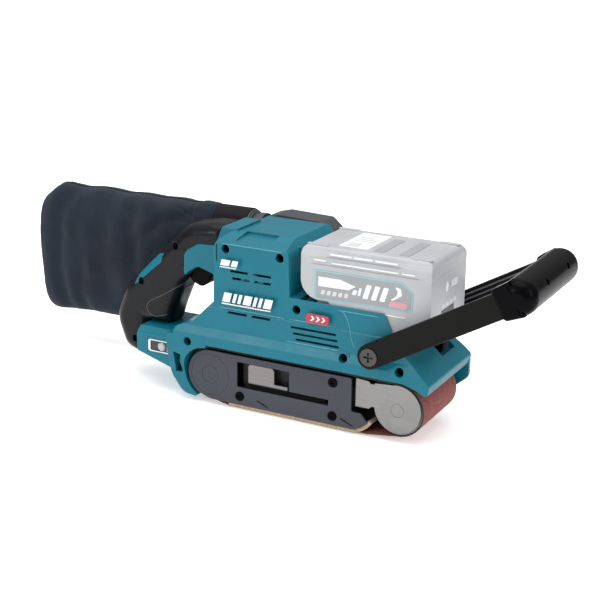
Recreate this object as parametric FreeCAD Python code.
import FreeCAD, Part

# Handheld belt sander with a slide-on battery, a rear D-handle, a front bail handle and a dust bag.
#
# Millimetres. +X points forwards, towards the front roller. +Z points up. -Y is the belt-change side and
# +Y the drive side. The origin lies on the working face of the sanding belt, under the platen, on the
# belt's centre plane, below the middle of the machine.

import math
import os

# Belt unit
BELT_WIDTH = 76.0
BELT_THICK = 1.2
ROLLER_AXIS_Z = 30.5
DRUM_X = -85.0
IDLER_X = 105.5
BELT_INNER_R = 23.4
ROLLER_GAP = 0.3
PLATEN_REAR_X = -70.0
PLATEN_REAR_R = 3.0
PLATEN_CURL_X = 61.0
PLATEN_CURL_R = 22.0
PLATEN_CURL_DEG = 62.0
PAD_THICK = 3.1
PLATE_THICK = 1.2
FIT_GAP = 0.05

# Belt-change side cover and belt-unit frame
COVER_FACE_Y = -41.4
COVER_BACK_Y = -39.7
BRACKET_FACE_Y = -39.5
BRACKET_BACK_Y = -38.3
FRAME_FAR_Y = 44.0
COVER_SCREWS = [(-53.0, 13.5), (43.0, 45.5), (43.0, 13.5)]

# Housing
WALL = 3.0
SPLIT_Y = 0.0
SKIRT_Y = -50.0
UPPER_Y = -47.0
FAR_Y = 46.0
FAR_SKIRT_Y = 50.0
BELT_CLEAR_Z = 60.5
CREASE_Z = 98.0
MOTOR_TOP_Z = 166.0
TRAY_FLOOR_Z = 88.0
TRAY_RIM_Z = 119.0
FENDER_IN_R = 27.0
TRAY_REAR_X = 10.0
SCREW_SINK = 6.0
HOUSING_SCREWS = [(-65.0, 154.5, UPPER_Y, 56.0), (-9.5, 153.5, UPPER_Y, 56.0),
                  (8.0, 109.0, UPPER_Y, 56.0),
                  (-104.5, 61.0, SKIRT_Y, 56.0), (56.0, 73.0, SKIRT_Y, 56.0),
                  (110.0, 70.0, SKIRT_Y, 46.5)]
FAR_SKIRT = [(138.0, 62.0), (138.0, 40.0, 8.0), (126.0, 30.0, 8.0), (60.0, 24.0, 6.0),
             (-60.0, 24.0, 2.0),
             (-60.0, 62.0)]

# Drive
MOTOR_X = -38.0
MOTOR_Z = 122.0
STATOR_R = 27.0
PINION_R = 8.5
PULLEY_R = 22.1
TIMING_Y = (52.0, 61.0)
FAN_CASE_FAR_Y = 77.0

# Rear handle
GRIP_HALF_Y = 19.0
ROOT_HALF_Y = 21.0
BASE_HALF_Y = 35.0
HANDLE_SCREWS = [(-177.0, 101.0), (-137.0, 141.0), (-185.0, 41.0)]

# Battery
BATTERY_X = (11.0, 134.0)
BATTERY_Y = (-44.4, 35.6)
BATTERY_TOP_Z = 168.4
BATTERY_COVER_Z = 153.0
BATTERY_STEP_Z = 98.0
BATTERY_RAIL_Z = 90.6
BATTERY_MID_Y = (BATTERY_Y[0] + BATTERY_Y[1]) / 2
TRAY_GAP = 0.8

# Front bail handle
PIVOT_X = 85.9
PIVOT_Z = 83.0
ARM_R = 11.2
PIVOT_BOSS_R = 10.6
ARM_DEG = 29.5
ARM_REACH = 146.5
ARM_THICK = 6.5
NEAR_ARM_Y = -60.5
FAR_ARM_Y = 54.0
GRIP_Y = (-64.0, 64.0)
GRIP_R = 15.8
GRIP_END_ROUND = 11.5
GRIP_BLOCK_START = 129.0
GRIP_BLOCK_Y = 50.0

# Small controls
TRIGGER_PIVOT = (-101.0, 128.3)
TRIGGER_SIDE = [(-97.8, 126.0, 2.0), (-97.6, 131.7, 3.0), (-104.6, 131.7, 3.0),
                (-125.0, 122.5, 3.0),
                (-128.0, 107.0, 7.0), (-114.0, 101.6, 7.0), (-106.5, 107.0, 5.0)]
TRIGGER_ROOM = (-134.0, -10.0, 98.0, -92.0, 10.0, 126.5)
SWITCH_SIDE = [(-121.0, 132.0), (-121.0, 135.5), (-112.0, 142.0), (-86.0, 142.0), (-86.0, 132.0)]
SWITCH_ROOM = [(-122.0, 125.0), (-122.0, 136.2), (-112.4, 143.0), (-70.0, 143.0), (-70.0, 125.0)]
LOCK_PIVOT = (-92.5, 123.5)
LOCK_TOE = (-98.6, 113.8)
SPRING_PLACE = (-117.0, 124.6)
SPEED_BUTTON = (-143.6, 44.0)
SPEED_BUTTON_R = 3.5
PANEL_X = (-159.0, -131.0)
PANEL_Z = (37.6, 50.4)
DIAL_PLACE = (118.5, 76.5)
DIAL_Y = 20.0
DIAL_R = 6.5
DIAL_RIBS = 20
DIAL_POCKET = [(109.0, 83.0), (124.0, 68.0, 3.0), (145.0, 88.0), (130.0, 104.0)]

# Drive belt, fan and covers
PINION_TEETH = 13
PULLEY_TEETH = 34
FAN_R = 29.0
FAN_BLADES = 8
HANDLE_WALL = 4.0
HANDLE_ROUND = 12.0
COVER_JOINT_Z = 84.0
DRIVE_LOOP = [(DRUM_X, ROLLER_AXIS_Z, 28.5), (MOTOR_X, MOTOR_Z, 16.0)]
FAN_CASE_SIDE = [(-77.9, 84.0, 10.0), (-6.0, 84.0, 12.0), (-5.0, 156.0, 10.0), (-17.0, 166.0, 5.0),
                 (-62.0, 167.5, 3.0), (-77.9, 163.5, 6.0)]
INLAY_SIDE = [(-186.0, 94.5, 1.0), (-181.5, 106.5, 6.0), (-170.0, 118.5), (-157.5, 130.0, 2.0),
              (-151.0, 131.5), (-153.5, 122.5, 1.0), (-166.6, 111.5), (-179.6, 100.0, 4.0)]
INLAY_DEPTH_Y = 9.0

# Dust bag: side profile and plan
BAG_SIDE = [(-130.1, 134.0, 4.0), (-130.1, 168.0, 6.0), (-150.0, 169.0, 20.0),
            (-326.0, 168.5, 22.0), (-347.0, 146.0, 18.0), (-345.0, 82.0, 30.0),
            (-330.0, 35.0, 16.0), (-212.0, 35.0, 22.0), (-196.0, 92.0, 30.0)]
BAG_PLAN = [(-130.1, 34.0, 4.0), (-130.1, 70.0, 4.0), (-190.0, 78.0, 40.0), (-326.0, 78.0, 30.0),
            (-347.0, 66.0, 12.0), (-347.0, 38.0, 12.0), (-326.0, 26.0, 30.0), (-190.0, 26.0, 40.0)]
BAG_CLOTH = 1.6

# Dust outlet
NOZZLE_Y = 52.0
NOZZLE_Z = 151.0
NOZZLE_R = 13.4
RING_R = 15.4
COLLAR_R = 17.8

UP = FreeCAD.Vector(0, 0, 1)
ALONG_Y = FreeCAD.Vector(0, 1, 0)
ALONG_X = FreeCAD.Vector(1, 0, 0)


def rounded_wire(points, place):
    """Closed wire through (a, b) or (a, b, radius) corners; place turns (a, b) into a 3-D point."""
    edges = []
    joints = []
    count = len(points)
    for i, corner in enumerate(points):
        here = FreeCAD.Vector(corner[0], corner[1], 0)
        before = FreeCAD.Vector(points[i - 1][0], points[i - 1][1], 0)
        after = FreeCAD.Vector(points[(i + 1) % count][0], points[(i + 1) % count][1], 0)
        radius = corner[2] if len(corner) > 2 else 0.0
        if radius == 0.0:
            joints.append((here, None, here))
            continue
        back = (before - here).normalize()
        ahead = (after - here).normalize()
        half = back.getAngle(ahead) / 2.0
        run = radius / math.tan(half)
        middle = (back + ahead).normalize()
        bulge = here + middle * (radius / math.sin(half) - radius)
        joints.append((here + back * run, bulge, here + ahead * run))
    for i, (start, bulge, end) in enumerate(joints):
        if bulge is not None:
            ends = [place(p.x, p.y) for p in (start, bulge, end)]
            edges.append(Part.Arc(*ends).toShape())
        following = joints[(i + 1) % count][0]
        if end.distanceToPoint(following) > 1e-6:
            edges.append(Part.LineSegment(place(end.x, end.y),
                                          place(following.x, following.y)).toShape())
    return Part.Wire(edges)


def in_xz(a, b):
    return FreeCAD.Vector(a, 0, b)


def in_yz(a, b):
    return FreeCAD.Vector(0, a, b)


def in_xy(a, b):
    return FreeCAD.Vector(a, b, 0)


def prism_y(points, low, high):
    """Side profile of (x, z, radius) corners, from y = low to y = high."""
    face = Part.Face(rounded_wire(points, in_xz))
    face.translate(ALONG_Y * low)
    return face.extrude(ALONG_Y * (high - low))


def prism_x(points, low, high):
    """Cross-section of (y, z, radius) corners, from x = low to x = high."""
    face = Part.Face(rounded_wire(points, in_yz))
    face.translate(ALONG_X * low)
    return face.extrude(ALONG_X * (high - low))


def prism_z(points, low, high):
    """Plan of (x, y, radius) corners, from z = low to z = high."""
    face = Part.Face(rounded_wire(points, in_xy))
    face.translate(UP * low)
    return face.extrude(UP * (high - low))


def box(x0, y0, z0, x1, y1, z1):
    return Part.makeBox(x1 - x0, y1 - y0, z1 - z0, FreeCAD.Vector(x0, y0, z0))


def rod(x, z, radius, y0, y1):
    """Cylinder along Y."""
    return Part.makeCylinder(radius, y1 - y0, FreeCAD.Vector(x, y0, z), ALONG_Y)


def tube(x, z, outer, inner, y0, y1):
    return rod(x, z, outer, y0, y1).cut(rod(x, z, inner, y0 - 1, y1 + 1))


def rod_x(y, z, radius, x0, x1):
    """Cylinder along X."""
    return Part.makeCylinder(radius, x1 - x0, FreeCAD.Vector(x0, y, z), ALONG_X)


def tube_x(y, z, outer, inner, x0, x1):
    return rod_x(y, z, outer, x0, x1).cut(rod_x(y, z, inner, x0 - 1, x1 + 1))


def fuse(shapes):
    joined = shapes[0]
    for shape in shapes[1:]:
        joined = joined.fuse(shape)
    return joined.removeSplitter()


def cut(shape, tools):
    for tool in tools:
        shape = shape.cut(tool)
    return shape


def rim_edges(shape, axis, value):
    """Edges that lie wholly in the plane axis = value."""
    found = []
    for edge in shape.Edges:
        bounds = edge.BoundBox
        low = getattr(bounds, axis + "Min")
        high = getattr(bounds, axis + "Max")
        if abs(low - value) < 0.01 and abs(high - value) < 0.01:
            found.append(edge)
    return found


def largest(shape):
    """The biggest solid of a cut body, without the offcuts that its cavity leaves."""
    return max(shape.Solids, key=lambda solid: solid.Volume)


def round_rims(shape, radius, axis, values):
    for value in values:
        shape = shape.makeFillet(radius, rim_edges(shape, axis, value))
    return shape


def loop_wire(circles, grow):
    """Tight loop round circles (x, z, radius), listed anticlockwise seen from -Y, each grown by grow."""
    count = len(circles)
    tangents = []
    for i in range(count):
        x0, z0, r0 = circles[i]
        x1, z1, r1 = circles[(i + 1) % count]
        span = math.hypot(x1 - x0, z1 - z0)
        tangents.append(math.atan2(z1 - z0, x1 - x0) - math.acos((r0 - r1) / span))
    edges = []
    for i in range(count):
        x, z, r = circles[i]
        start = tangents[i - 1]
        end = tangents[i]
        while end < start:
            end += 2 * math.pi
        ring = [in_xz(x + (r + grow) * math.cos(a), z + (r + grow) * math.sin(a))
                for a in (start, (start + end) / 2, end)]
        edges.append(Part.Arc(*ring).toShape())
        nx, nz, nr = circles[(i + 1) % count]
        landing = in_xz(nx + (nr + grow) * math.cos(end), nz + (nr + grow) * math.sin(end))
        edges.append(Part.LineSegment(ring[2], landing).toShape())
    return Part.Wire(edges)


def loop_solid(circles, grow, y0, y1):
    face = Part.Face(loop_wire(circles, grow))
    face.translate(ALONG_Y * y0)
    return face.extrude(ALONG_Y * (y1 - y0))


def loop_band(circles, inner, outer, y0, y1):
    return loop_solid(circles, outer, y0, y1).cut(loop_solid(circles, inner, y0 - 1, y1 + 1))


def screw(x, z, y_face, depth, head_r, shank_r, toward=1):
    """Cross-head screw along Y: its head's outer face at y_face, its point toward +Y or -Y."""
    head_depth = head_r * 0.55
    y0, y1 = sorted((y_face, y_face + toward * head_depth))
    y2, y3 = sorted((y_face + toward * head_depth, y_face + toward * depth))
    head = rod(x, z, head_r, y0, y1)
    shank = rod(x, z, shank_r, y2, y3)
    slot = head_r * 1.1
    width = head_r * 0.22
    deep = head_depth * 0.5
    d0, d1 = sorted((y_face, y_face + toward * deep))
    cross = box(x - slot / 2, d0, z - width / 2, x + slot / 2, d1, z + width / 2)
    cross = cross.fuse(box(x - width / 2, d0, z - slot / 2, x + width / 2, d1, z + slot / 2))
    return head.fuse(shank).cut(cross)


def screw_room(x, z, y_face, depth, head_r, shank_r, toward=1, mouth=60.0):
    """Space for such a screw and for the driver in front of it."""
    gap = 0.1
    head_depth = head_r * 0.55
    y0, y1 = sorted((y_face - toward * mouth, y_face + toward * head_depth))
    y2, y3 = sorted((y_face, y_face + toward * (depth + 0.5)))
    return rod(x, z, head_r + gap, y0, y1).fuse(rod(x, z, shank_r + gap, y2, y3))


def helix_spring(radius, wire_r, pitch, length, origin, along):
    """Round-wire compression spring of the given length, starting at origin."""
    path = Part.makeHelix(pitch, length, radius)
    start = Part.Wire(Part.makeCircle(wire_r, FreeCAD.Vector(radius, 0, 0),
                                      FreeCAD.Vector(0, 1, 0)))
    coil = Part.Wire(path).makePipeShell([start], True, True)
    if along is not UP:
        coil.rotate(FreeCAD.Vector(0, 0, 0), UP.cross(along), math.degrees(UP.getAngle(along)))
    coil.translate(origin)
    return coil


def save(name, shape):
    shape.exportStep("parts/%s.step" % name)
    state = "" if shape.isValid() else "  NOT VALID"
    print("%-22s %3d solid(s) %10.0f mm3%s" % (name, len(shape.Solids), shape.Volume, state))


# ---------------------------------------------------------------------------- belt unit

BELT_HALF = BELT_WIDTH / 2
PLATEN_LOOP = [(PLATEN_REAR_X + PLATEN_REAR_R, BELT_THICK + PLATEN_REAR_R, PLATEN_REAR_R),
               (PLATEN_CURL_X, BELT_THICK + PLATEN_CURL_R, PLATEN_CURL_R),
               (IDLER_X, ROLLER_AXIS_Z, BELT_INNER_R),
               (DRUM_X, ROLLER_AXIS_Z, BELT_INNER_R)]


def make_belt():
    belt = loop_band(PLATEN_LOOP, 0.0, BELT_THICK, -BELT_HALF, BELT_HALF)
    length = loop_wire(PLATEN_LOOP, BELT_THICK / 2).Length
    print("sanding belt length %.1f mm" % length)
    return belt


def curled_strip(low, thick, half_width):
    """Flat strip whose front end curls up round the platen's nose; low is its height above the belt."""
    turn = math.radians(PLATEN_CURL_DEG)
    centre_z = BELT_THICK + PLATEN_CURL_R
    outer = PLATEN_CURL_R - low
    inner = outer - thick

    def on_arc(radius, angle):
        return in_xz(PLATEN_CURL_X + radius * math.sin(angle), centre_z - radius * math.cos(angle))

    rear_x = PLATEN_REAR_X + PLATEN_REAR_R
    rear_low = in_xz(rear_x, centre_z - outer)
    rear_high = in_xz(rear_x, centre_z - inner)
    edges = [Part.LineSegment(rear_low, on_arc(outer, 0)).toShape(),
             Part.Arc(on_arc(outer, 0), on_arc(outer, turn / 2), on_arc(outer, turn)).toShape(),
             Part.LineSegment(on_arc(outer, turn), on_arc(inner, turn)).toShape(),
             Part.Arc(on_arc(inner, turn), on_arc(inner, turn / 2), on_arc(inner, 0)).toShape(),
             Part.LineSegment(on_arc(inner, 0), rear_high).toShape(),
             Part.LineSegment(rear_high, rear_low).toShape()]
    face = Part.Face(Part.Wire(edges))
    face.translate(ALONG_Y * -half_width)
    return face.extrude(ALONG_Y * (2 * half_width))


PLATEN_SCREWS = [(-50.0, -22.0), (-50.0, 22.0), (44.0, -22.0), (44.0, 22.0)]
PLATE_TOP_Z = BELT_THICK + FIT_GAP + PAD_THICK + PLATE_THICK
LEVER_PIVOT = (33.0, -35.5)
SPRING_ROOM = (30.0, 58.0)
SPRING_Z = 33.0
YOKE_X = (64.0, 74.0)


def make_platen():
    pad = curled_strip(FIT_GAP, PAD_THICK, BELT_HALF)
    plate = curled_strip(FIT_GAP + PAD_THICK, PLATE_THICK, BELT_HALF - 0.5)
    screws = []
    for x, y in PLATEN_SCREWS:
        head = Part.makeCylinder(3.2, 1.6, FreeCAD.Vector(x, y, PLATE_TOP_Z - PLATE_THICK - 1.6),
                                 UP)
        shank = Part.makeCylinder(1.9, 9.0, FreeCAD.Vector(x, y, PLATE_TOP_Z - PLATE_THICK), UP)
        room = Part.makeCylinder(3.4, 3.2, FreeCAD.Vector(x, y, PLATE_TOP_Z - PLATE_THICK - 3.2),
                                 UP)
        pad = pad.cut(room)
        plate = plate.cut(Part.makeCylinder(2.0, 12.0, FreeCAD.Vector(x, y, 0), UP))
        screws.append(head.fuse(shank))
    return pad, plate, Part.makeCompound(screws)


def make_frame():
    """Aluminium body inside the belt loop, with a side plate that carries the drum's far bearing."""
    core = box(-54.0, -33.0, PLATE_TOP_Z, 56.0, FRAME_FAR_Y, 50.0)
    core = core.cut(box(-48.0, -27.0, 16.0, 22.0, 34.0, 44.0))
    core = core.cut(box(SPRING_ROOM[0], -10.0, SPRING_Z - 9.0, 57.0, 10.0, SPRING_Z + 9.0))
    side = loop_solid([(DRUM_X, ROLLER_AXIS_Z, 20.0), (47.0, 17.0, 9.0), (47.0, 42.0, 9.0)], 0.0,
                      39.0, FRAME_FAR_Y)
    boss = rod(DRUM_X, ROLLER_AXIS_Z, 18.0, 39.0, 51.0)
    frame = fuse([core, side, boss])
    posts = [rod(x, z, 6.0, COVER_BACK_Y + FIT_GAP, -32.0) for x, z in COVER_SCREWS]
    frame = fuse([frame] + posts)
    rooms = [rod(DRUM_X, ROLLER_AXIS_Z, 11.0, 42.0, 52.0),
             rod(DRUM_X, ROLLER_AXIS_Z, 8.0, 38.0, 43.0),
             box(LEVER_PIVOT[0] - 6.0, -34.0, 20.0, LEVER_PIVOT[0] + 8.0, -28.0, 31.0)]
    rooms += [rod(x, z, 2.1, COVER_BACK_Y - 1.0, -22.0) for x, z in COVER_SCREWS]
    rooms += [Part.makeCylinder(2.0, 12.0, FreeCAD.Vector(x, y, 4.0), UP) for x, y in PLATEN_SCREWS]
    frame = cut(frame, rooms)
    x, y = LEVER_PIVOT
    lugs = [box(x - 4.5, COVER_BACK_Y + 0.9, z0, x + 4.5, -32.0, z1) for z0, z1 in ((17.5, 22.9),
                                                                                    (27.9, 34.0))]
    frame = fuse([frame] + lugs)
    return frame.cut(Part.makeCylinder(1.5 + FIT_GAP, 20.0, FreeCAD.Vector(x, y, 15.0), UP))


LEVER_SLOT = (-56.0, 39.0, 22.5, 28.2)
LEVER_WINDOW = (-56.0, -1.0, 28.0, 47.2)


def make_side_cover():
    """Dark cover over the belt-change side, with the lever's window and slot cut through it."""
    front = [(-67.0, 4.8, 2.0), (66.0, 4.8, 3.0), (78.0, 13.0, 2.0), (71.0, 21.4, 2.0),
             (61.5, 21.4, 2.0),
             (61.5, 53.0, 2.0), (DRUM_X, 53.0), (DRUM_X, 5.0)]
    plate = fuse([prism_y(front, COVER_FACE_Y, COVER_BACK_Y),
                  rod(DRUM_X, 29.1, 23.9, COVER_FACE_Y, COVER_BACK_Y)])
    foot = prism_y([(-108.0, 13.0), (-92.0, 7.2), (-70.0, 0.0), (-110.0, 0.0)], COVER_FACE_Y - 1,
                   COVER_BACK_Y + 1)
    plate = plate.cut(foot)
    hub = tube(DRUM_X, ROLLER_AXIS_Z, 14.0, 11.0, COVER_BACK_Y, -31.0)
    cover = fuse([plate, hub])
    window = prism_y([(LEVER_WINDOW[0], LEVER_WINDOW[2], 1.0),
                      (LEVER_WINDOW[1], LEVER_WINDOW[2], 1.0),
                      (LEVER_WINDOW[1], LEVER_WINDOW[3], 1.0),
                      (LEVER_WINDOW[0], LEVER_WINDOW[3], 1.0)],
                     COVER_FACE_Y - 1, COVER_BACK_Y + 1)
    slot = box(LEVER_SLOT[0], COVER_FACE_Y - 1, LEVER_SLOT[2], LEVER_SLOT[1], COVER_BACK_Y + 1,
               LEVER_SLOT[3])
    slit = prism_y([(-35.0, 12.2), (-24.0, 7.6), (-21.0, 7.6), (-24.5, 9.2), (-34.0, 13.4)],
                   COVER_FACE_Y - 1, COVER_BACK_Y + 1)
    front_slit = slit.copy()
    front_slit.translate(ALONG_X * 86.0)
    holes = [rod(x, z, 2.1, COVER_FACE_Y - 1, COVER_BACK_Y + 1) for x, z in COVER_SCREWS]
    dishes = [rod(x, z, 4.6, COVER_FACE_Y - 1, COVER_FACE_Y + 1.25) for x, z in COVER_SCREWS]
    rings = [tube(DRUM_X, 29.3, 9.0, 8.4, COVER_FACE_Y - 1, COVER_FACE_Y + 0.3),
             tube(DRUM_X, 29.3, 20.6, 19.8, COVER_FACE_Y - 1, COVER_FACE_Y + 0.3)]
    return cut(cover, [window, slot, slit, front_slit] + holes + dishes + rings)


def make_cover_screws():
    return Part.makeCompound([screw(x, z, COVER_FACE_Y + 0.9 - 2.0, 16.0, 4.2,
                                    2.0) for x, z in COVER_SCREWS])


def make_drum():
    roller_r = BELT_INNER_R - ROLLER_GAP
    drum = rod(DRUM_X, ROLLER_AXIS_Z, roller_r, -BELT_HALF + 0.5, BELT_HALF - 0.5)
    drum = drum.cut(rod(DRUM_X, ROLLER_AXIS_Z, 15.0, -BELT_HALF - 1, -29.0))
    return drum.cut(rod(DRUM_X, ROLLER_AXIS_Z, 6.0 + FIT_GAP, -BELT_HALF, BELT_HALF))


def make_drum_shaft():
    body = rod(DRUM_X, ROLLER_AXIS_Z, 6.0, -29.0, 62.5)
    return body.fuse(rod(DRUM_X, ROLLER_AXIS_Z, 4.0, -38.8, -29.0))


def ball_bearing(x, z, outer, bore, y0, y1):
    """Closed ball bearing drawn as its two rings joined by its shields."""
    ring = tube(x, z, outer, bore, y0, y1)
    dip = tube(x, z, outer - 2.0, bore + 2.0, y0 - 0.1, y0 + 0.4)
    far_dip = tube(x, z, outer - 2.0, bore + 2.0, y1 - 0.4, y1 + 0.1)
    return cut(ring, [dip, far_dip])


def make_drum_bearings():
    near = ball_bearing(DRUM_X, ROLLER_AXIS_Z, 11.0 - FIT_GAP, 4.0 + FIT_GAP, -39.0, -32.0)
    far = ball_bearing(DRUM_X, ROLLER_AXIS_Z, 11.0 - FIT_GAP, 6.0 + FIT_GAP, 43.0, 50.0)
    return Part.makeCompound([near, far])


def make_pulley(x, z, radius, bore, y0, y1, teeth):
    """Toothed pulley with square teeth, slightly below the belt's inside."""
    body = rod(x, z, radius, y0, y1)
    groove_r = math.pi * radius / teeth * 0.5
    for i in range(teeth):
        angle = 2 * math.pi * i / teeth
        body = body.cut(rod(x + radius * math.cos(angle), z + radius * math.sin(angle), groove_r,
                            y0 - 1, y1 + 1))
    return body.cut(rod(x, z, bore + FIT_GAP, y0 - 1, y1 + 1))


TIMING_LOOP = [(DRUM_X, ROLLER_AXIS_Z, PULLEY_R + 0.3), (MOTOR_X, MOTOR_Z, PINION_R + 0.3)]


def make_idler():
    roller_r = BELT_INNER_R - ROLLER_GAP
    roller = tube(IDLER_X, ROLLER_AXIS_Z, roller_r, 11.0, -BELT_HALF + 0.8, BELT_HALF - 0.8)
    near = ball_bearing(IDLER_X, ROLLER_AXIS_Z, 11.0 - FIT_GAP, 5.0 + FIT_GAP, -BELT_HALF + 1.5,
                        -BELT_HALF + 8.5)
    far = ball_bearing(IDLER_X, ROLLER_AXIS_Z, 11.0 - FIT_GAP, 5.0 + FIT_GAP, BELT_HALF - 8.5,
                       BELT_HALF - 1.5)
    return roller, Part.makeCompound([near, far])


def make_bracket():
    """Bright plate outside the front roller: a disc with a stepped tail."""
    disc = rod(IDLER_X, 31.6, 22.2, BRACKET_FACE_Y, BRACKET_BACK_Y)
    tail = prism_y([(65.0, 27.0), (78.0, 27.0), (81.0, 29.5), (84.0, 29.5), (88.0, 24.0),
                    (100.0, 24.0),
                    (104.0, 53.5), (84.0, 52.0), (82.5, 50.6), (79.0, 50.6), (77.5, 52.6),
                    (65.0, 53.4)],
                   BRACKET_FACE_Y, BRACKET_BACK_Y)
    plate = fuse([disc, tail])
    groove = tube(IDLER_X, ROLLER_AXIS_Z, 6.2, 5.8, BRACKET_FACE_Y - 1, BRACKET_FACE_Y + 0.25)
    hole = rod(IDLER_X, ROLLER_AXIS_Z, 3.0 + FIT_GAP, BRACKET_FACE_Y + 0.6, BRACKET_BACK_Y + 1)
    return cut(plate, [groove, hole])


def make_axle():
    body = rod(IDLER_X, ROLLER_AXIS_Z, 5.0, BRACKET_BACK_Y + FIT_GAP, BELT_HALF + 0.3)
    tip = rod(IDLER_X, ROLLER_AXIS_Z, 3.0, BRACKET_FACE_Y + 0.7, BRACKET_BACK_Y + 1)
    tail = rod(IDLER_X, ROLLER_AXIS_Z, 3.0, BELT_HALF, BELT_HALF + 2.2)
    return fuse([body, tip, tail])


def make_yoke():
    """Yoke behind the roller: a cross block, a far ear and the rod that the tension spring pushes."""
    block = box(YOKE_X[0], BRACKET_BACK_Y + FIT_GAP, 26.0, YOKE_X[1], BELT_HALF + 2.4, 44.0)
    ear = loop_solid([(YOKE_X[0] + 10.0, 35.0, 8.0), (IDLER_X, ROLLER_AXIS_Z, 9.0)], 0.0,
                     BELT_HALF + 0.4, BELT_HALF + 2.4)
    rail = rod_x(0.0, SPRING_Z, 3.0, 44.0, YOKE_X[0] + 1)
    yoke = fuse([block, ear, rail])
    return yoke.cut(rod(IDLER_X, ROLLER_AXIS_Z, 3.0 + FIT_GAP, BELT_HALF - 1, BELT_HALF + 4))


def make_tension_spring():
    return helix_spring(5.2, 0.9, 4.0, 24.0, FreeCAD.Vector(31.5, 0.0, SPRING_Z), ALONG_X)


def make_lever():
    """Sheet-metal tension lever: a thumb tab in the window on an arm that runs to a vertical pin."""
    tab = prism_y([(-44.0, 23.4, 2.0), (-17.0, 23.4), (-17.0, 46.6, 3.0), (-44.0, 46.6, 3.0)],
                  -40.9, -38.9)
    arm = box(-17.5, -40.9, 23.4, 25.0, -38.9, 27.4)
    ledge = box(-17.5, -40.9, 27.0, -3.0, -38.9, 31.5)
    knee = prism_z([(24.0, -40.9), (30.0, -40.9), (LEVER_PIVOT[0] + 3.0, LEVER_PIVOT[1] - 1.0),
                    (LEVER_PIVOT[0] + 1.0, LEVER_PIVOT[1] + 3.0), (29.0, -36.5), (24.0, -38.9)],
                   23.4, 27.4)
    eye = Part.makeCylinder(4.0, 4.0, FreeCAD.Vector(LEVER_PIVOT[0], LEVER_PIVOT[1], 23.4), UP)
    lever = fuse([tab, arm, ledge, knee, eye])
    bore = Part.makeCylinder(1.5 + FIT_GAP, 10.0, FreeCAD.Vector(LEVER_PIVOT[0], LEVER_PIVOT[1],
                                                                 20.0), UP)
    return lever.cut(bore)


def make_lever_pin():
    return Part.makeCylinder(1.5, 15.0, FreeCAD.Vector(LEVER_PIVOT[0], LEVER_PIVOT[1], 18.0), UP)


# ---------------------------------------------------------------------------- housing

LOWER_SIDE = [(-126.0, 53.0), (-85.0, BELT_CLEAR_Z), (113.0, BELT_CLEAR_Z), (126.0, 57.0),
              (133.0, 53.2, 1.5),
              (137.0, 53.4, 1.5), (138.5, 62.0, 4.0), (107.0, 90.0, 3.0), (93.0, TRAY_RIM_Z, 3.0),
              (-20.0, TRAY_RIM_Z), (-77.0, 104.0, 8.0), (-100.0, 81.0, 8.0), (-118.0, 74.0, 6.0)]
LOWER_SECTION = [(SKIRT_Y, 30.0), (SKIRT_Y, 69.5), (UPPER_Y, 77.0), (UPPER_Y - 0.3, CREASE_Z - 0.6),
                 (UPPER_Y + 0.5, CREASE_Z), (UPPER_Y + 0.8, 125.0), (FAR_Y, 125.0), (FAR_Y, 78.0),
                 (FAR_SKIRT_Y, 68.0), (FAR_SKIRT_Y, 30.0)]
MOTOR_SIDE = [(-78.0, 80.0), (2.0, 80.0), (-0.5, 157.0, 9.0), (-9.0, MOTOR_TOP_Z + 0.5, 4.0),
              (-72.0, MOTOR_TOP_Z + 0.5, 6.0), (-77.0, 156.0, 8.0)]
MOTOR_SECTION = [(UPPER_Y + 0.5, 60.0), (UPPER_Y + 0.9, 160.5, 2.5), (-20.0, MOTOR_TOP_Z, 20.0),
                 (FAR_Y, MOTOR_TOP_Z, 3.0), (FAR_Y, 60.0)]
ROOT_SIDE = [(-80.0, 112.0, 4.0), (-97.0, 121.0, 6.0), (-111.0, 125.0, 6.0), (-122.0, 118.0, 6.0),
             (-127.0, 108.0, 2.0),
             (-126.0, 138.0, 10.0), (-111.0, 147.0, 8.0), (-92.0, 148.0, 2.0), (-84.0, 168.0, 4.0),
             (-66.0, 168.0)]
HANDLE_FRONT = [(-60.0, 90.0), (-128.0, 90.0), (-127.1, 107.0), (-126.1, 138.0, 10.0),
                (-111.1, 147.0, 8.0),
                (-92.1, 148.1, 2.0), (-84.1, 168.1, 4.0), (-60.0, 168.1)]
BASE_SIDE = [(-171.9, 36.5, 2.0), (-131.0, 24.5, 5.0), (-118.0, 30.0), (-105.0, 74.0),
             (-126.0, 60.0, 6.0),
             (-171.9, 60.0, 1.0)]
FENDER_SIDE = [(-127.6, 66.0), (-128.0, 25.0, 20.0), (-114.0, 6.5, 14.0), (-100.0, 5.0, 1.5),
               (-96.5, 9.5, 1.0),
               (-85.0, 30.0), (-85.0, 66.0)]
FENDER_SECTION = [(SKIRT_Y, 70.0), (SKIRT_Y, 53.0), (-43.2, 27.0, 30.0), (-43.0, 0.0), (FAR_Y, 0.0),
                  (FAR_Y, 70.0)]
BASE_SECTION = [(-BASE_HALF_Y, 10.0, 6.0), (-BASE_HALF_Y, 54.0, 7.0), (-24.0, 63.0, 10.0),
                (24.0, 63.0, 10.0),
                (BASE_HALF_Y, 54.0, 7.0), (BASE_HALF_Y, 10.0, 6.0)]
HANDLE_OUTER = [(-84.5, 167.6), (-100.0, 167.4, 40.0), (-126.5, 163.0, 30.0), (-199.0, 92.5, 40.0),
                (-212.0, 61.0, 30.0), (-200.0, 30.0, 16.0), (-186.5, 25.5, 4.0),
                (-172.0, 33.0, 2.0), (-172.0, 60.1),
                (-148.0, 60.1, 2.0), (-142.0, 78.0, 20.0), (-131.0, 104.0, 12.0), (-124.0, 110.0),
                (-84.5, 110.0)]


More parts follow.
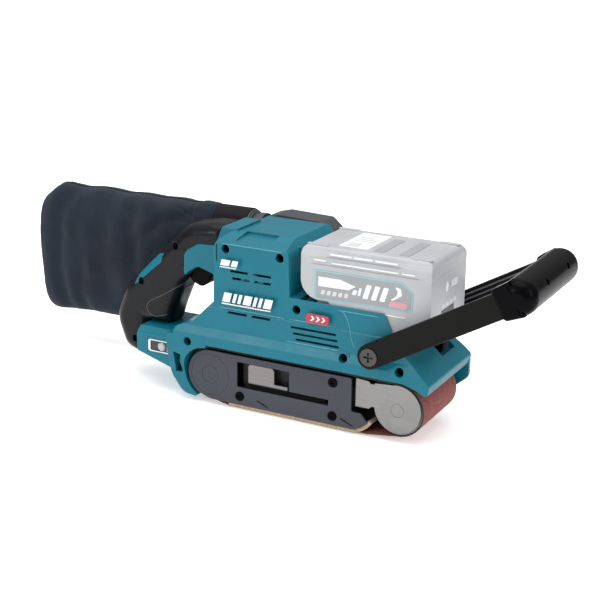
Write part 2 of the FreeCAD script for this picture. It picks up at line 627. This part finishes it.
def make_housing():
    """Both clamshell halves as one solid with a cavity, before they are split."""
    lower = prism_y(LOWER_SIDE, -70, 70).common(prism_x(LOWER_SECTION, -150, 160))
    motor = prism_y(MOTOR_SIDE, -70, 70).common(prism_x(MOTOR_SECTION, -100, 20))
    root = prism_y(ROOT_SIDE, -ROOT_HALF_Y, ROOT_HALF_Y)
    root = round_rims(root, 1.8, "Y", (-ROOT_HALF_Y, ROOT_HALF_Y))
    base = prism_y(BASE_SIDE, -70, 70).common(prism_x(BASE_SECTION, -200, -90))
    fender = prism_y(FENDER_SIDE, -70, 70).common(prism_x(FENDER_SECTION, -150, -70))
    bosses = [rod(PIVOT_X, PIVOT_Z, PIVOT_BOSS_R, NEAR_ARM_Y + ARM_THICK + 0.5, UPPER_Y + 6),
              rod(PIVOT_X, PIVOT_Z, PIVOT_BOSS_R, FAR_Y - 6, FAR_ARM_Y - 0.5)]
    body = fuse([lower, motor, base, fender] + bosses)
    body = body.cut(box(TRAY_REAR_X, BATTERY_Y[0] - TRAY_GAP, TRAY_FLOOR_Z, 160.0,
                        BATTERY_Y[1] + TRAY_GAP, 200.0))
    body = body.cut(rod(DRUM_X, ROLLER_AXIS_Z, FENDER_IN_R, -60, 60))
    skirt = prism_y(FAR_SKIRT, FAR_Y, FAR_SKIRT_Y)
    guides = [box(40.0, y0, 94.6, 118.0, y1, 97.4) for y0, y1 in
              ((BATTERY_Y[0] - TRAY_GAP - 0.5, BATTERY_MID_Y - 25.5),
               (BATTERY_MID_Y + 25.5, BATTERY_Y[1] + TRAY_GAP + 0.5))]
    body = fuse([body, root, skirt] + guides)
    return body.cut(prism_x([(-43.0, 160.9), (-18.0, 163.4), (-18.0, 180.0), (-43.0, 180.0)], -58.0,
                            -24.0))


def make_cavity():
    near = UPPER_Y + WALL + 0.9
    far = FAR_Y - WALL
    lower = prism_y([(-96.0, 66.0), (-60.0, 64.0), (112.0, 64.0), (118.0, 72.0), (103.0, 85.0),
                     (3.0, 85.0),
                     (-3.0, 99.0), (-74.0, 99.0), (-96.0, 78.0)], near, far)
    motor = prism_y([(-74.5, 90.0), (-1.5, 90.0), (-3.5, 155.0, 6.0), (-11.0, 162.5, 3.0),
                     (-70.0, 162.5, 4.0),
                     (-73.5, 155.0, 5.0)], -70, 70)
    motor = motor.common(prism_x([(near, 80.0), (near, 158.0), (-20.0, MOTOR_TOP_Z - WALL),
                                  (far, MOTOR_TOP_Z - WALL),
                                  (far, 80.0)], -90, 10))
    behind_tray = box(-6.0, near, 95.0, TRAY_REAR_X - WALL, far, TRAY_RIM_Z - WALL)
    switch_room = prism_y(SWITCH_ROOM, -14.0, 14.0)
    ear_room = box(-105.5, -14.0, 124.0, -96.5, 14.0, 127.0)
    trigger_room = box(*TRIGGER_ROOM)
    lock_room = box(-104.0, -7.5, 108.0, -88.0, 7.5, 127.5)
    pin_room = rod(LOCK_PIVOT[0], LOCK_PIVOT[1], 1.25, -12.1, 12.1)
    base = box(-165.0, -29.0, 38.5, -122.0, 29.0, 55.0)
    return [lower, motor, behind_tray, switch_room, ear_room, trigger_room, lock_room, pin_room,
            base]


def vent_cuts():
    """Air slots beside the motor and the long louvres below the battery, all on the right side."""
    cuts = []
    for x0, z0, width in [(-60.0, 133.5, 19.0), (-36.0, 133.5, 18.0), (-58.0, 127.0, 18.0),
                          (-35.0, 127.0, 17.0),
                          (-60.0, 102.5, 18.0), (-36.0, 102.5, 18.0), (-62.0, 94.5, 20.0),
                          (-37.0, 94.5, 19.0)]:
        cuts.append(box(x0, -60.0, z0, x0 + width, -42.5, z0 + 2.4))
    for i in range(3):
        cuts.append(box(3.0 + 2.5 * i, -60.0, 80.5 + 5.5 * (2 - i), 48.0 + 1.5 * i, -42.5,
                        82.7 + 5.5 * (2 - i)))
    cuts.append(prism_y([(-121.5, 48.0), (-113.6, 46.0), (-115.5, 38.5), (-113.6, 27.0),
                         (-122.0, 26.5)], -60, -30))
    return cuts


def pocket_rooms():
    """Holes through the housing for the shafts, pivots, controls and the tracking dial."""
    return [rod(PIVOT_X, PIVOT_Z, 3.1, -70.0, 70.0),
            prism_y(DIAL_POCKET, DIAL_Y - 15.0, DIAL_Y + 15.0),
            rod(DIAL_PLACE[0], DIAL_PLACE[1], DIAL_R + 0.8, DIAL_Y - 7.0, DIAL_Y + 7.0),
            rod(DIAL_PLACE[0], DIAL_PLACE[1], 2.0 + FIT_GAP, DIAL_Y - 17.5, DIAL_Y + 17.5),
            rod(MOTOR_X, MOTOR_Z, 11.0, 30.0, 60.0),
            rod(DRUM_X, ROLLER_AXIS_Z, FENDER_IN_R, -60.0, 60.0),
            box(PANEL_X[0] - 0.1, -BASE_HALF_Y - 1, PANEL_Z[0] - 0.1, PANEL_X[1] + 0.1,
                -BASE_HALF_Y + 1.6,
                PANEL_Z[1] + 0.1),
            rod(SPEED_BUTTON[0], SPEED_BUTTON[1], SPEED_BUTTON_R + FIT_GAP, -40.0, -25.0)]


def make_housing_halves():
    """Right and left clamshell halves, hollow, with screw bosses, motor ribs and vents."""
    body = cut(make_housing(), make_cavity() + vent_cuts())
    columns = [rod(x, z, 6.5, y + 2.0, y + depth + 8.0) for x, z,
               y, depth in HOUSING_SCREWS if z > 64.0]
    ribs = [box(-77.0, y, 90.0, 0.0, y + 3.0, 160.0).cut(rod(MOTOR_X, MOTOR_Z, STATOR_R + 0.1,
                                                             y - 1, y + 4))
            for y in (-24.0, 2.0)]
    seat = tube(MOTOR_X, MOTOR_Z, 13.0, 9.55, UPPER_Y + 2, -36.0)
    body = fuse([body, seat] + columns + ribs)
    rooms = [screw_room(x, z, y + SCREW_SINK, depth, 4.1, 1.8) for x, z, y, depth in HOUSING_SCREWS]
    body = cut(body, rooms + pocket_rooms())
    body = body.cut(rod(MOTOR_X, MOTOR_Z, STATOR_R + 0.1, -36.5, 10.5))
    right = body.common(box(-260, -100, -10, 200, SPLIT_Y, 220))
    left = body.common(box(-260, SPLIT_Y, -10, 200, 100, 220))
    return largest(right), largest(left)


def make_housing_screws():
    return Part.makeCompound([screw(x, z, y + SCREW_SINK, depth, 4.1, 1.8) for x, z,
                              y, depth in HOUSING_SCREWS])


def make_tracking_dial():
    """Ribbed wheel in the nose pocket that sets the belt's tracking, with its spindle."""
    x, z = DIAL_PLACE
    wheel = rod(x, z, DIAL_R, DIAL_Y - 6.0, DIAL_Y + 6.0)
    for i in range(DIAL_RIBS):
        angle = 2 * math.pi * i / DIAL_RIBS
        wheel = wheel.cut(rod(x + DIAL_R * math.cos(angle), z + DIAL_R * math.sin(angle), 0.7,
                              DIAL_Y - 7, DIAL_Y + 7))
    return wheel.fuse(rod(x, z, 2.0, DIAL_Y - 17.0, DIAL_Y + 17.0))


# ---------------------------------------------------------------------------- rear handle and controls

def make_handle_parts():
    """Black handle shells and the coloured inlays along both shoulders of the grip."""
    outer = Part.Face(rounded_wire(HANDLE_OUTER, in_xz))
    body = prism_y(HANDLE_OUTER, -GRIP_HALF_Y, GRIP_HALF_Y)
    body = round_rims(body, HANDLE_ROUND, "Y", (-GRIP_HALF_Y, GRIP_HALF_Y))
    hollow = outer.makeOffset2D(-HANDLE_WALL)
    hollow.translate(ALONG_Y * -(GRIP_HALF_Y - HANDLE_WALL))
    hollow = hollow.extrude(ALONG_Y * (2 * (GRIP_HALF_Y - HANDLE_WALL)))
    root = prism_y(HANDLE_FRONT, -ROOT_HALF_Y - 1, ROOT_HALF_Y + 1)
    motor = prism_y(MOTOR_SIDE, -70, 70)
    lower = prism_y(LOWER_SIDE, -70, 70)
    columns = [rod(x, z, 5.5, -GRIP_HALF_Y + 3, GRIP_HALF_Y - 3) for x, z in HANDLE_SCREWS]
    body = cut(body, [hollow, root, motor, lower, box(*TRIGGER_ROOM)])
    body = fuse([body] + columns)
    strips = [prism_y(INLAY_SIDE, -60.0, -INLAY_DEPTH_Y), prism_y(INLAY_SIDE, INLAY_DEPTH_Y, 60.0)]
    inlays = [largest(body.common(strip)) for strip in strips]
    body = cut(body, strips)
    rooms = [screw_room(x, z, -GRIP_HALF_Y + 2.6, 26.0, 3.6, 1.7) for x, z in HANDLE_SCREWS]
    body = cut(body, rooms)
    inlay = Part.makeCompound([cut(strip, rooms) for strip in inlays])
    right = largest(body.common(box(-260, -100, -10, 0, SPLIT_Y, 220)))
    left = largest(body.common(box(-260, SPLIT_Y, -10, 0, 100, 220)))
    return right, left, inlay


def make_handle_screws():
    return Part.makeCompound([screw(x, z, -GRIP_HALF_Y + 2.6, 24.0, 3.5,
                                    1.6) for x, z in HANDLE_SCREWS])


def make_switch_body():
    x, z = TRIGGER_PIVOT
    block = prism_y(SWITCH_SIDE, -11.0, 11.0)
    ears = [box(x - 4.0, y, z - 3.0, x + 4.0, y + 1.4, 133.0) for y in (-11.0, 9.6)]
    pin = rod(x, z, 1.5, -11.0, 11.0)
    return fuse([block, pin] + ears)


def make_trigger():
    x, z = TRIGGER_PIVOT
    trigger = round_rims(prism_y(TRIGGER_SIDE, -9.0, 9.0), 1.5, "Y", (-9.0, 9.0))
    seat = Part.makeCylinder(3.8, 12.0, FreeCAD.Vector(SPRING_PLACE[0], 0.0, SPRING_PLACE[1] - 0.1),
                             UP)
    return cut(trigger, [rod(x, z, 1.5 + FIT_GAP, -20, 20), seat])


def make_trigger_spring():
    return helix_spring(2.8, 0.45, 1.7, 6.2, FreeCAD.Vector(SPRING_PLACE[0], 0.0,
                                                            SPRING_PLACE[1] + 0.45), UP)


def make_lock_lever():
    x, z = LOCK_PIVOT
    circles = [(LOCK_TOE[0], LOCK_TOE[1], 3.4), (x, z, 2.8)]
    lever = round_rims(loop_solid(circles, 0.0, -6.5, 6.5), 1.0, "Y", (-6.5, 6.5))
    return lever.cut(rod(x, z, 1.2 + FIT_GAP, -20, 20))


def make_lock_pin():
    return rod(LOCK_PIVOT[0], LOCK_PIVOT[1], 1.2, -12.0, 12.0)


def make_control_panel():
    panel = prism_y([(PANEL_X[0], PANEL_Z[0], 2.0), (PANEL_X[1], PANEL_Z[0], 2.0),
                     (PANEL_X[1], PANEL_Z[1], 2.0),
                     (PANEL_X[0], PANEL_Z[1], 2.0)], -BASE_HALF_Y, -BASE_HALF_Y + 1.5)
    return panel.cut(rod(SPEED_BUTTON[0], SPEED_BUTTON[1], SPEED_BUTTON_R + FIT_GAP, -60, 0))


def make_speed_button():
    x, z = SPEED_BUTTON
    cap = rod(x, z, SPEED_BUTTON_R, -BASE_HALF_Y - 0.9, -BASE_HALF_Y + 2.0)
    return cap.fuse(rod(x, z, 2.0, -BASE_HALF_Y + 1.5, -BASE_HALF_Y + 8.0))


def make_controller():
    return box(-164.5, -24.0, 38.6, -128.0, 24.0, 50.0)


# ---------------------------------------------------------------------------- motor and drive

def make_stator():
    ring = tube(MOTOR_X, MOTOR_Z, STATOR_R, 16.0, -34.0, 10.0)
    for i in range(6):
        angle = math.pi / 3 * i
        ring = ring.cut(rod(MOTOR_X + 20.5 * math.cos(angle), MOTOR_Z + 20.5 * math.sin(angle), 3.4,
                            -35.0, 11.0))
    return ring


def make_rotor():
    core = rod(MOTOR_X, MOTOR_Z, 15.4, -33.0, 9.0)
    return core.cut(rod(MOTOR_X, MOTOR_Z, 4.0, -40.0, 20.0))


def make_motor_shaft():
    return rod(MOTOR_X, MOTOR_Z, 4.0, -42.8, 74.0)


def make_motor_bearings():
    near = ball_bearing(MOTOR_X, MOTOR_Z, 9.5, 4.0 + FIT_GAP, -43.0, -37.0)
    far = ball_bearing(MOTOR_X, MOTOR_Z, 11.0 - FIT_GAP, 4.0 + FIT_GAP, 42.0, 49.0)
    return Part.makeCompound([near, far])


def make_pinion():
    return make_pulley(MOTOR_X, MOTOR_Z, PINION_R, 4.0 - FIT_GAP, TIMING_Y[0], TIMING_Y[1],
                       PINION_TEETH)


def make_driven_pulley():
    return make_pulley(DRUM_X, ROLLER_AXIS_Z, PULLEY_R, 6.0 - FIT_GAP, TIMING_Y[0], TIMING_Y[1],
                       PULLEY_TEETH)


def make_timing_belt():
    return loop_band(TIMING_LOOP, 0.0, 1.6, TIMING_Y[0] + 0.5, TIMING_Y[1] - 0.5)


def make_fan():
    """Dust fan: a hub and a back plate with straight blades."""
    hub = rod(MOTOR_X, MOTOR_Z, 8.0, 63.0, 73.5)
    plate = rod(MOTOR_X, MOTOR_Z, FAN_R, 63.0, 65.0)
    blades = []
    for i in range(FAN_BLADES):
        blade = box(MOTOR_X + 7.0, 64.5, MOTOR_Z - 0.9, MOTOR_X + FAN_R - 0.5, 73.0, MOTOR_Z + 0.9)
        blade.rotate(FreeCAD.Vector(MOTOR_X, 0, MOTOR_Z), ALONG_Y, 360.0 / FAN_BLADES * i)
        blades.append(blade)
    return fuse([hub, plate] + blades).cut(rod(MOTOR_X, MOTOR_Z, 4.0, 60.0, 80.0))


def make_drive_cover():
    """Cover over the lower part of the drive belt, up to the fan case."""
    shell = loop_solid(DRIVE_LOOP, 0.0, 46.1, 66.0)
    shell = round_rims(shell, 4.0, "Y", (66.0,))
    shell = shell.common(box(-200, 0, -50, 100, 100, COVER_JOINT_Z - 0.1))
    skirt = box(-200, 40.0, 0.0, 100, 50.1, 79.0)
    return largest(cut(shell, [loop_solid(DRIVE_LOOP, -2.5, 40.0, 63.5), skirt]))


def make_fan_case():
    """Case round the dust fan and the drive belt's upper end, with the outlet to the nozzle."""
    shell = prism_y(FAN_CASE_SIDE, FAR_Y + 0.1, FAN_CASE_FAR_Y)
    shell = round_rims(shell, 4.0, "Y", (FAN_CASE_FAR_Y,))
    hollow = Part.Face(rounded_wire(FAN_CASE_SIDE, in_xz)).makeOffset2D(-2.5)
    hollow.translate(ALONG_Y * 40.0)
    hollow = hollow.extrude(ALONG_Y * (FAN_CASE_FAR_Y - 2.5 - 40.0))
    passage = loop_solid(DRIVE_LOOP, -2.5, 40.0, 63.5).common(box(-200, 30, 60, 100, 63.5, 110))
    outlet = rod_x(NOZZLE_Y, NOZZLE_Z, NOZZLE_R - 2.4, -90.0, -60.0)
    return cut(shell, [hollow, passage, outlet])


def make_nozzle():
    spout = rod_x(NOZZLE_Y, NOZZLE_Z, NOZZLE_R, -106.0, -78.1)
    collar = rod_x(NOZZLE_Y, NOZZLE_Z, NOZZLE_R + 1.2, -84.0, -78.1)
    return fuse([spout, collar]).cut(rod_x(NOZZLE_Y, NOZZLE_Z, NOZZLE_R - 2.4, -110.0, -70.0))


def make_nozzle_ring():
    """Swivelling sleeve on the nozzle, with a rim that the bag's cuff stops against."""
    sleeve = rod_x(NOZZLE_Y, NOZZLE_Z, RING_R, -119.0, -89.0)
    rim = rod_x(NOZZLE_Y, NOZZLE_Z, RING_R + 1.3, -92.9, -91.0)
    return fuse([sleeve, rim]).cut(rod_x(NOZZLE_Y, NOZZLE_Z, NOZZLE_R + 0.08, -130.0, -80.0))


def make_bag_collar():
    cuff = tube_x(NOZZLE_Y, NOZZLE_Z, COLLAR_R, RING_R + 0.08, -130.0, -93.2)
    return round_rims(cuff, 1.0, "X", (-93.2,))


def make_dust_bag():
    """Cloth bag as a thin hollow shell, open at its collar."""
    side = Part.Face(rounded_wire(BAG_SIDE, in_xz))
    plan = Part.Face(rounded_wire(BAG_PLAN, in_xy))
    outside = side.extrude(ALONG_Y * 120.0).common(plan.extrude(UP * 200.0))
    inner_side = side.makeOffset2D(-BAG_CLOTH).extrude(ALONG_Y * 120.0)
    inner_plan = plan.makeOffset2D(-BAG_CLOTH).extrude(UP * 200.0)
    mouth = rod_x(NOZZLE_Y, NOZZLE_Z, 14.0, -140.0, -125.0)
    return cut(outside, [inner_side.common(inner_plan), mouth])


# ---------------------------------------------------------------------------- front bail handle

def arm_point(reach, rise):
    """Point at a distance along the bail's arms and above their centre line."""
    turn = math.radians(ARM_DEG)
    return (PIVOT_X + reach * math.cos(turn) - rise * math.sin(turn),
            PIVOT_Z + reach * math.sin(turn) + rise * math.cos(turn))


def make_arm(y0, outside):
    """One flat arm; outside is -1 on the near side and +1 on the far side."""
    tip = arm_point(ARM_REACH - 6.0, 0.0)
    arm = loop_solid([(PIVOT_X, PIVOT_Z, ARM_R), (tip[0], tip[1], ARM_R)], 0.0, y0, y0 + ARM_THICK)
    arm = round_rims(arm, 1.0, "Y", (y0, y0 + ARM_THICK))
    face = y0 if outside < 0 else y0 + ARM_THICK
    dish = rod(PIVOT_X, PIVOT_Z, 8.4, min(face, face - outside * 3.6),
               max(face, face - outside * 3.6))
    return cut(arm, [dish, rod(PIVOT_X, PIVOT_Z, 3.06, -80.0, 80.0)])


def make_pivot_screws():
    near = screw(PIVOT_X, PIVOT_Z, NEAR_ARM_Y - 0.9, 22.0, 8.0, 3.0)
    far = screw(PIVOT_X, PIVOT_Z, FAR_ARM_Y + ARM_THICK + 0.9, 22.0, 8.0, 3.0, toward=-1)
    return Part.makeCompound([near, far])


def make_grip_halves():
    """Front grip, split across the arms' line; the rear half holds the arm ends."""
    centre = arm_point(ARM_REACH, 0.0)
    bar = rod(centre[0], centre[1], GRIP_R, GRIP_Y[0], GRIP_Y[1])
    bar = round_rims(bar, GRIP_END_ROUND, "Y", GRIP_Y)
    blocks = []
    for y0, y1 in ((GRIP_Y[0], -GRIP_BLOCK_Y), (GRIP_BLOCK_Y, GRIP_Y[1])):
        corners = [arm_point(GRIP_BLOCK_START, -13.2) + (4.0,), arm_point(ARM_REACH, 0.1 - GRIP_R),
                   arm_point(ARM_REACH, GRIP_R - 0.1), arm_point(GRIP_BLOCK_START, 14.6) + (4.0,)]
        block = prism_y(corners, y0, y1)
        blocks.append(round_rims(block, 3.0, "Y", (y0, y1)))
    grip = fuse([bar] + blocks)
    for y0 in (NEAR_ARM_Y, FAR_ARM_Y):
        tip = arm_point(ARM_REACH - 6.0, 0.0)
        grip = grip.cut(loop_solid([(PIVOT_X, PIVOT_Z, ARM_R), (tip[0], tip[1], ARM_R)], 0.05,
                                   y0 - 0.05, y0 + ARM_THICK + 0.05))
    for x, z, y in grip_screw_places():
        grip = grip.cut(grip_screw(x, z, y, 0.1))
    low = arm_point(ARM_REACH, -60.0)
    high = arm_point(ARM_REACH, 60.0)
    ahead_low = arm_point(ARM_REACH + 60.0, -60.0)
    ahead_high = arm_point(ARM_REACH + 60.0, 60.0)
    front_space = prism_y([low, ahead_low, ahead_high, high], -100.0, 100.0)
    return largest(grip.cut(front_space)), largest(grip.common(front_space))


def grip_screw_places():
    x, z = arm_point(ARM_REACH + GRIP_R - 3.0, 0.0)
    return [(x, z, y) for y in (-26.0, 30.0)]


def grip_screw(x, z, y, grow):
    """Screw through the grip's front half into its rear half, along the arms' line."""
    turn = math.radians(ARM_DEG)
    back = FreeCAD.Vector(-math.cos(turn), 0, -math.sin(turn))
    place = FreeCAD.Vector(x, y, z)
    head = Part.makeCylinder(2.9 + grow, 2.0 + 4.0 * (grow > 0), place - back * (4.0 * (grow > 0)),
                             back)
    return head.fuse(Part.makeCylinder(1.4 + grow, 18.0 + grow, place, back))


def make_grip_screws():
    return Part.makeCompound([grip_screw(x, z, y, 0.0) for x, z, y in grip_screw_places()])


# ---------------------------------------------------------------------------- battery

def battery_outer():
    side = [(BATTERY_X[0], BATTERY_TOP_Z, 5.0), (BATTERY_X[0], 121.0, 18.0), (38.0, 121.0),
            (58.0, BATTERY_STEP_Z, 6.0),
            (BATTERY_X[1], BATTERY_STEP_Z, 5.0), (BATTERY_X[1], BATTERY_TOP_Z, 7.0)]
    body = prism_y(side, BATTERY_Y[0], BATTERY_Y[1])
    section = prism_x([(BATTERY_Y[0], 80.0), (BATTERY_Y[0], 161.0, 4.0),
                       (BATTERY_Y[0] + 5.0, BATTERY_TOP_Z, 4.0),
                       (BATTERY_Y[1] - 5.0, BATTERY_TOP_Z, 4.0), (BATTERY_Y[1], 161.0, 4.0),
                       (BATTERY_Y[1], 80.0)],
                      0.0, 200.0)
    return body.common(section)


def make_battery_shells():
    """Lower case with the sliding rail under it, and the top cover."""
    body = battery_outer()
    foot = box(20.0, BATTERY_MID_Y - 29.0, BATTERY_RAIL_Z, 122.0, BATTERY_MID_Y + 29.0, 94.0)
    neck = box(20.0, BATTERY_MID_Y - 25.0, BATTERY_RAIL_Z, 122.0, BATTERY_MID_Y + 25.0, 122.0)
    body = fuse([body, foot, neck])
    hollow = box(BATTERY_X[0] + 3.0, BATTERY_Y[0] + 2.5, 124.0, BATTERY_X[1] - 2.5,
                 BATTERY_Y[1] - 2.5, 164.5)
    contact_slot = box(10.0, BATTERY_MID_Y - 14.0, 85.0, 62.0, BATTERY_MID_Y + 14.0, 98.0)
    button_room = box(128.0, BATTERY_MID_Y - 15.0, 104.0, 140.0, BATTERY_MID_Y + 15.0, 121.0)
    body = cut(body, [hollow, contact_slot, button_room])
    case = body.common(box(0, -100, 80, 200, 100, BATTERY_COVER_Z))
    cover = body.common(box(0, -100, BATTERY_COVER_Z, 200, 100, 200))
    return largest(case), largest(cover)


def make_battery_button():
    return prism_y([(128.3, 107.5), (133.0, 107.5, 1.0), (133.6, 120.7, 1.0), (128.3, 120.7)],
                   BATTERY_MID_Y - 14.7,
                   BATTERY_MID_Y + 14.7)


def make_battery_cells():
    cells = []
    for z in (134.2, 154.2):
        for i in range(5):
            cells.append(rod(32.0 + 21.4 * i, z, 9.8, BATTERY_Y[0] + 5.0, BATTERY_Y[0] + 75.0))
    return Part.makeCompound(cells)


def make_battery_contacts():
    return Part.makeCompound([box(30.0, BATTERY_MID_Y + y - 0.5, 94.0, 50.0,
                                  BATTERY_MID_Y + y + 0.5, 97.9)
                              for y in (-10.0, 0.0, 10.0)])


def make_terminal_block():
    """Tool-side terminal block on the tray floor, with a slot for each battery contact."""
    block = box(24.0, BATTERY_MID_Y - 13.0, TRAY_FLOOR_Z, 56.0, BATTERY_MID_Y + 13.0, 97.4)
    return cut(block, [box(26.0, BATTERY_MID_Y + y - 1.0, 93.0, 60.0, BATTERY_MID_Y + y + 1.0,
                           99.0) for y in (-10.0, 0.0, 10.0)])


def main():
    os.makedirs("parts", exist_ok=True)
    pad, plate, platen_screws = make_platen()
    roller, bearings = make_idler()
    right, left = make_housing_halves()
    handle_right, handle_left, inlay = make_handle_parts()
    near_arm = make_arm(NEAR_ARM_Y, -1)
    far_arm = make_arm(FAR_ARM_Y, 1)
    grip_rear, grip_front = make_grip_halves()
    case, cover = make_battery_shells()
    nodes = {
        "sanding_belt": make_belt(),
        "platen_pad": pad,
        "platen_plate": plate,
        "platen_screws": platen_screws,
        "sander_frame": make_frame(),
        "side_cover": make_side_cover(),
        "side_cover_screws": make_cover_screws(),
        "drive_drum": make_drum(),
        "drum_shaft": make_drum_shaft(),
        "drum_bearings": make_drum_bearings(),
        "idler_roller": roller,
        "idler_bearings": bearings,
        "idler_bracket": make_bracket(),
        "idler_axle": make_axle(),
        "idler_yoke": make_yoke(),
        "tension_spring": make_tension_spring(),
        "tension_lever": make_lever(),
        "lever_pin": make_lever_pin(),
        "housing_right": right,
        "housing_left": left,
        "housing_screws": make_housing_screws(),
        "tracking_dial": make_tracking_dial(),
        "handle_right": handle_right,
        "handle_left": handle_left,
        "handle_inlay": inlay,
        "handle_screws": make_handle_screws(),
        "switch_body": make_switch_body(),
        "trigger": make_trigger(),
        "trigger_spring": make_trigger_spring(),
        "lock_lever": make_lock_lever(),
        "lock_pin": make_lock_pin(),
        "control_panel": make_control_panel(),
        "speed_button": make_speed_button(),
        "motor_controller": make_controller(),
        "motor_stator": make_stator(),
        "motor_rotor": make_rotor(),
        "motor_shaft": make_motor_shaft(),
        "motor_bearings": make_motor_bearings(),
        "drive_pinion": make_pinion(),
        "driven_pulley": make_driven_pulley(),
        "timing_belt": make_timing_belt(),
        "dust_fan": make_fan(),
        "drive_cover": make_drive_cover(),
        "fan_case": make_fan_case(),
        "dust_nozzle": make_nozzle(),
        "nozzle_ring": make_nozzle_ring(),
        "bag_collar": make_bag_collar(),
        "dust_bag": make_dust_bag(),
        "bail_arm_right": near_arm,
        "bail_arm_left": far_arm,
        "front_grip_rear": grip_rear,
        "front_grip_front": grip_front,
        "grip_screws": make_grip_screws(),
        "pivot_screws": make_pivot_screws(),
        "battery_case": case,
        "battery_cover": cover,
        "terminal_block": make_terminal_block(),
        "battery_button": make_battery_button(),
        "battery_cells": make_battery_cells(),
        "battery_contacts": make_battery_contacts(),
    }
    for name, shape in nodes.items():
        save(name, shape)
    print(len(nodes), "nodes")


main()
